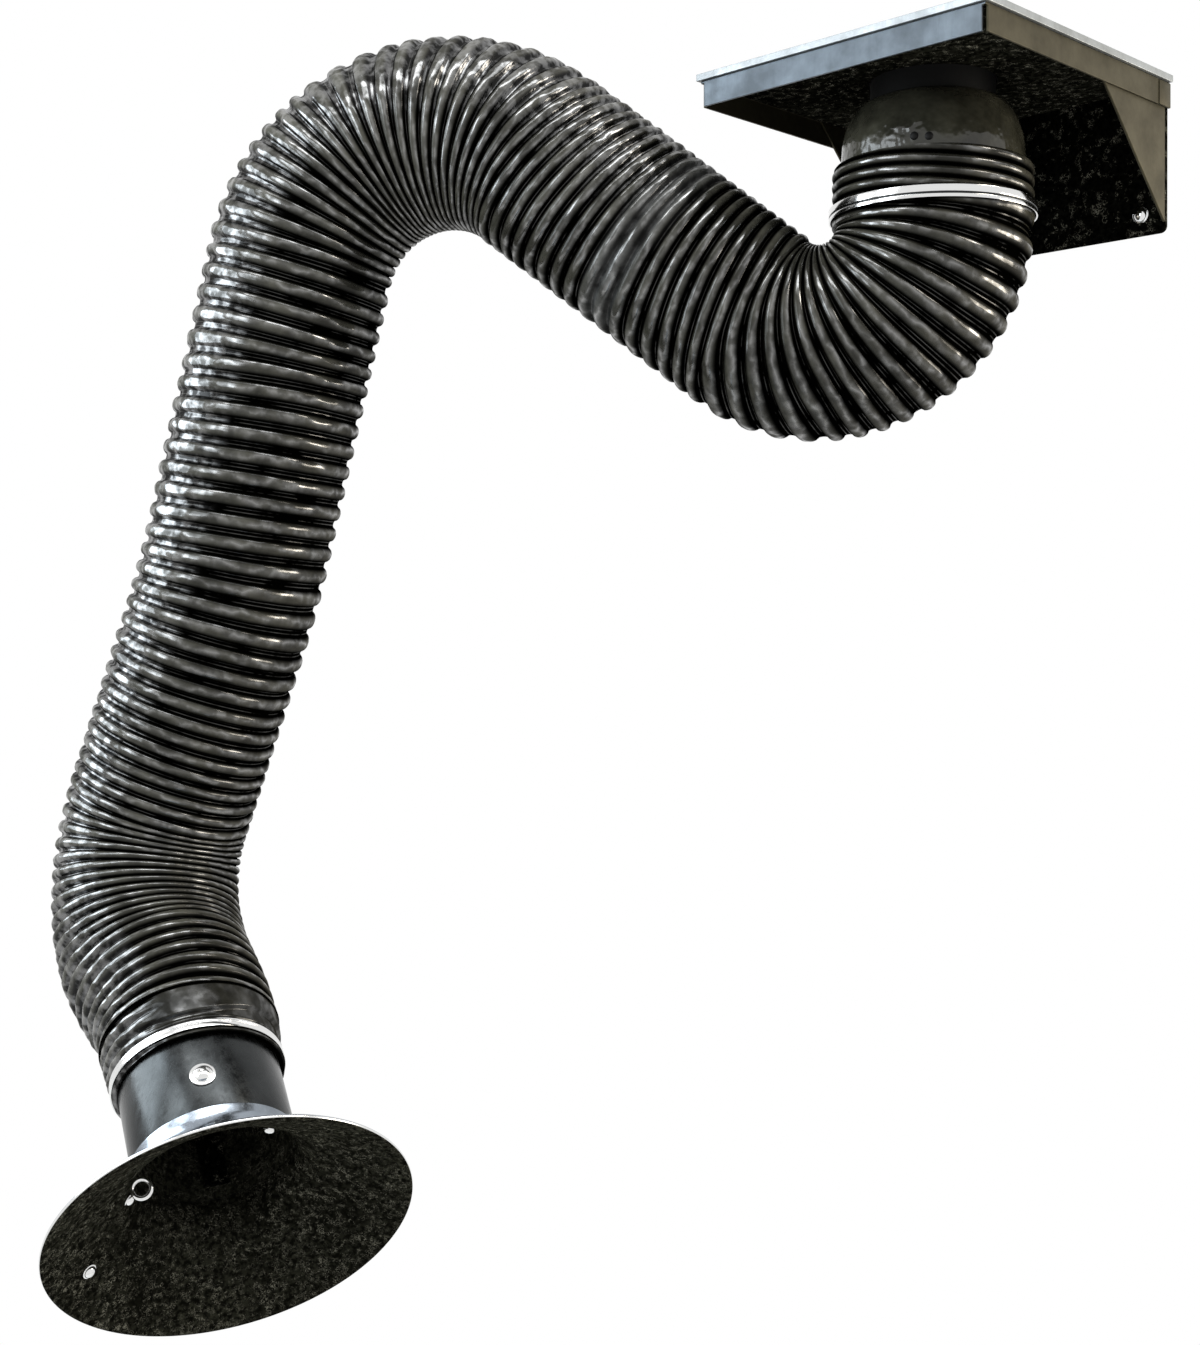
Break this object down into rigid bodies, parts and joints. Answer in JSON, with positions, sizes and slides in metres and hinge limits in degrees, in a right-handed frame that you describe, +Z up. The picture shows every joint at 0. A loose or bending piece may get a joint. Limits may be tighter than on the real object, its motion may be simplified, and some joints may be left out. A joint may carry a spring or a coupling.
{
  "type": "fume extraction arm",
  "caption": "Wall-hung fume extraction arm: ribbed hose over jointed support tubes, swivelling under a folded bracket, with a shallow round suction hood.",
  "frame": {"origin": "middle of the wall plate's back face", "axes": "+Y into the wall, +X to the right seen from the room, +Z up"},
  "size_m": [0.8624, 0.7796, 1.1565],
  "materials": {
    "black_vinyl": "glossy charcoal vinyl over a wire helix",
    "galvanised_steel": "galvanised sheet, satin",
    "strip_steel": "pale plate edge, satin",
    "warm_steel": "dull warm grey sheet",
    "dark_coat": "near-black coat with fine pale flecks",
    "bell_coat": "glossy olive-black enamel",
    "gunmetal_steel": "dark polished sheet",
    "bright_steel": "bright plated",
    "plain_steel": "plain zinc-plated",
    "friction_lining": "brown fibre friction lining",
    "slide_plastic": "white low-friction plastic"
  },
  "bodies": {
    "bracket": {"top_plate": "strip_steel", "bracket_tray": "galvanised_steel", "wall_plate": "dark_coat", "wall_bolt_1": "bright_steel", "wall_bolt_2": "bright_steel", "wall_bolt_3": "bright_steel", "wall_bolt_4": "bright_steel", "gusset_left": "warm_steel", "gusset_right": "warm_steel", "outlet_spigot": "galvanised_steel", "slide_washer": "slide_plastic"},
    "swivel": {"swivel_bell": "bell_coat", "retaining_ring": "plain_steel", "hose_top": "black_vinyl", "upper_clamp": "bright_steel", "shoulder_yoke": "plain_steel", "shoulder_bolt": "plain_steel", "shoulder_nut": "plain_steel", "shoulder_disc_near": "friction_lining", "shoulder_disc_far": "friction_lining", "hose_shoulder_bend": "black_vinyl"},
    "inner_arm": {"shoulder_tongue": "plain_steel", "inner_tube": "plain_steel", "elbow_fork": "plain_steel", "elbow_bolt": "plain_steel", "elbow_nut": "plain_steel", "elbow_disc_near": "friction_lining", "elbow_disc_far": "friction_lining", "hose_inner_run": "black_vinyl", "hose_elbow_bend": "black_vinyl"},
    "outer_arm": {"elbow_tongue": "plain_steel", "outer_tube": "plain_steel", "wrist_fork": "plain_steel", "hose_outer_run": "black_vinyl", "hose_wrist_upper": "black_vinyl"},
    "wrist": {"wrist_cross": "plain_steel", "swing_nut_near": "plain_steel", "swing_nut_far": "plain_steel", "tilt_nut_near": "plain_steel", "tilt_nut_far": "plain_steel"},
    "hood": {"hood_collar": "gunmetal_steel", "hood_dish": "dark_coat", "hood_fork": "plain_steel", "collar_screw_near": "bright_steel", "collar_screw_far": "bright_steel", "hose_cuff": "black_vinyl", "lower_clamp": "bright_steel", "dish_screw_1": "bright_steel", "dish_screw_2": "bright_steel", "dish_screw_3": "bright_steel", "dish_eyelet": "bright_steel", "hose_wrist_lower": "black_vinyl"}
  },
  "joints": [
    {"name": "swivel_turn", "type": "hinge", "parent": "bracket", "child": "swivel", "pos_m": [0, -0.15, 0.068], "axis": [0, 0, 1], "range_deg": [-12, 128.8]},
    {"name": "shoulder_lift", "type": "hinge", "parent": "swivel", "child": "inner_arm", "pos_m": [-0.04259, -0.1762, -0.157], "axis": [-0.524, 0.8517, 0], "range_deg": [-40, 6], "deforming": ["hose_shoulder_bend"]},
    {"name": "elbow_bend", "type": "hinge", "parent": "inner_arm", "child": "outer_arm", "pos_m": [-0.43864, -0.41985, 0.053], "axis": [-0.524, 0.8517, 0], "range_deg": [-12, 70], "deforming": ["hose_elbow_bend"]},
    {"name": "wrist_swing", "type": "hinge", "parent": "outer_arm", "child": "wrist", "pos_m": [-0.62219, -0.53277, -0.6669], "axis": [-0.816, -0.502, 0.2868], "range_deg": [-103, 3], "deforming": ["hose_wrist_upper"]},
    {"name": "wrist_tilt", "type": "hinge", "parent": "wrist", "child": "hood", "pos_m": [-0.62219, -0.53277, -0.6669], "axis": [0.5233, -0.4304, 0.7355], "range_deg": [-80, 4], "deforming": ["hose_wrist_lower"]}
  ]
}
